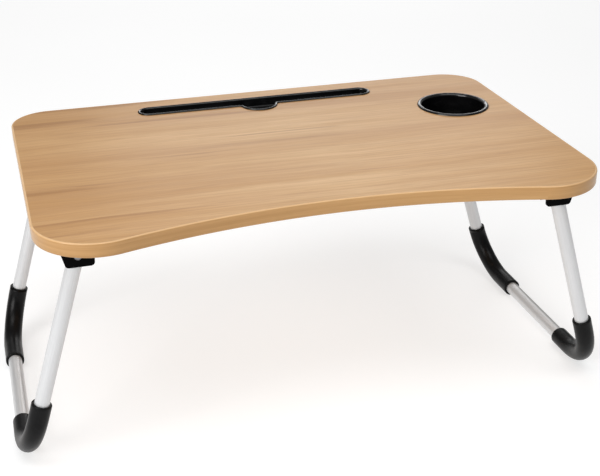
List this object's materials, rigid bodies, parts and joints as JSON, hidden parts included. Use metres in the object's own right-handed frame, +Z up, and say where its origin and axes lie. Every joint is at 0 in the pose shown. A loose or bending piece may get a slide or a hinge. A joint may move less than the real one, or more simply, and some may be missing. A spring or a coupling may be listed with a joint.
{
  "type": "folding tray table",
  "caption": "Low wood-effect lap table with hollowed front edge, recessed cup holder and tablet slot, on two fold-flat U-shaped tube legs with rubber sleeves.",
  "frame": {"origin": "on the floor under the middle of the board, which is also the middle of the open footprint", "axes": "+X to the user's right along the board, +Y away from the user to the tablet slot side, +Z up; the hollowed edge faces -Y"},
  "size_m": [0.6814, 0.4, 0.282],
  "materials": {
    "wood_laminate": "light beech wood-effect melamine, satin, long soft grain along X",
    "under_laminate": "light beech wood-effect melamine, plain, satin",
    "edge_banding": "beech-coloured edge band, slightly darker than the top, satin with rounded edges",
    "core_board": "medium-density fibreboard, raw",
    "insert_plastic": "black moulded plastic, semi-gloss",
    "hinge_plastic": "black moulded nylon, matte",
    "pin_steel": "bright zinc-plated rivet pin",
    "screw_steel": "zinc-plated self-tapping screws",
    "tube_aluminium": "satin silver-white drawn tube",
    "sleeve_rubber": "dark grey foam rubber with a soft sheen"
  },
  "bodies": {
    "top": {"board_core": "core_board", "board_top_laminate": "wood_laminate", "board_bottom_laminate": "under_laminate", "board_edge_band": "edge_banding", "cup_holder": "insert_plastic", "tablet_tray": "insert_plastic", "hinge_bracket_left_front": "hinge_plastic", "hinge_bracket_left_rear": "hinge_plastic", "hinge_bracket_right_front": "hinge_plastic", "hinge_bracket_right_rear": "hinge_plastic", "hinge_pin_left_front": "pin_steel", "hinge_pin_left_rear": "pin_steel", "hinge_pin_right_front": "pin_steel", "hinge_pin_right_rear": "pin_steel", "bracket_screws_left_front": "screw_steel", "bracket_screws_left_rear": "screw_steel", "bracket_screws_right_front": "screw_steel", "bracket_screws_right_rear": "screw_steel"},
    "left_leg": {"leg_tube_left": "tube_aluminium", "leg_knuckle_left_front": "hinge_plastic", "leg_knuckle_left_rear": "hinge_plastic", "knuckle_screw_left_front": "screw_steel", "knuckle_screw_left_rear": "screw_steel", "foot_sleeve_left_front": "sleeve_rubber", "foot_sleeve_left_rear": "sleeve_rubber"},
    "right_leg": {"leg_tube_right": "tube_aluminium", "leg_knuckle_right_front": "hinge_plastic", "leg_knuckle_right_rear": "hinge_plastic", "knuckle_screw_right_front": "screw_steel", "knuckle_screw_right_rear": "screw_steel", "foot_sleeve_right_front": "sleeve_rubber", "foot_sleeve_right_rear": "sleeve_rubber"}
  },
  "joints": [
    {"name": "left_leg_fold", "type": "hinge", "parent": "top", "child": "left_leg", "pos_m": [-0.2588, 0, 0.2473], "axis": [0, -1, 0], "range_deg": [0, 106.7]},
    {"name": "right_leg_fold", "type": "hinge", "parent": "top", "child": "right_leg", "pos_m": [0.2588, 0, 0.2473], "axis": [0, 1, 0], "range_deg": [0, 106.7]}
  ]
}
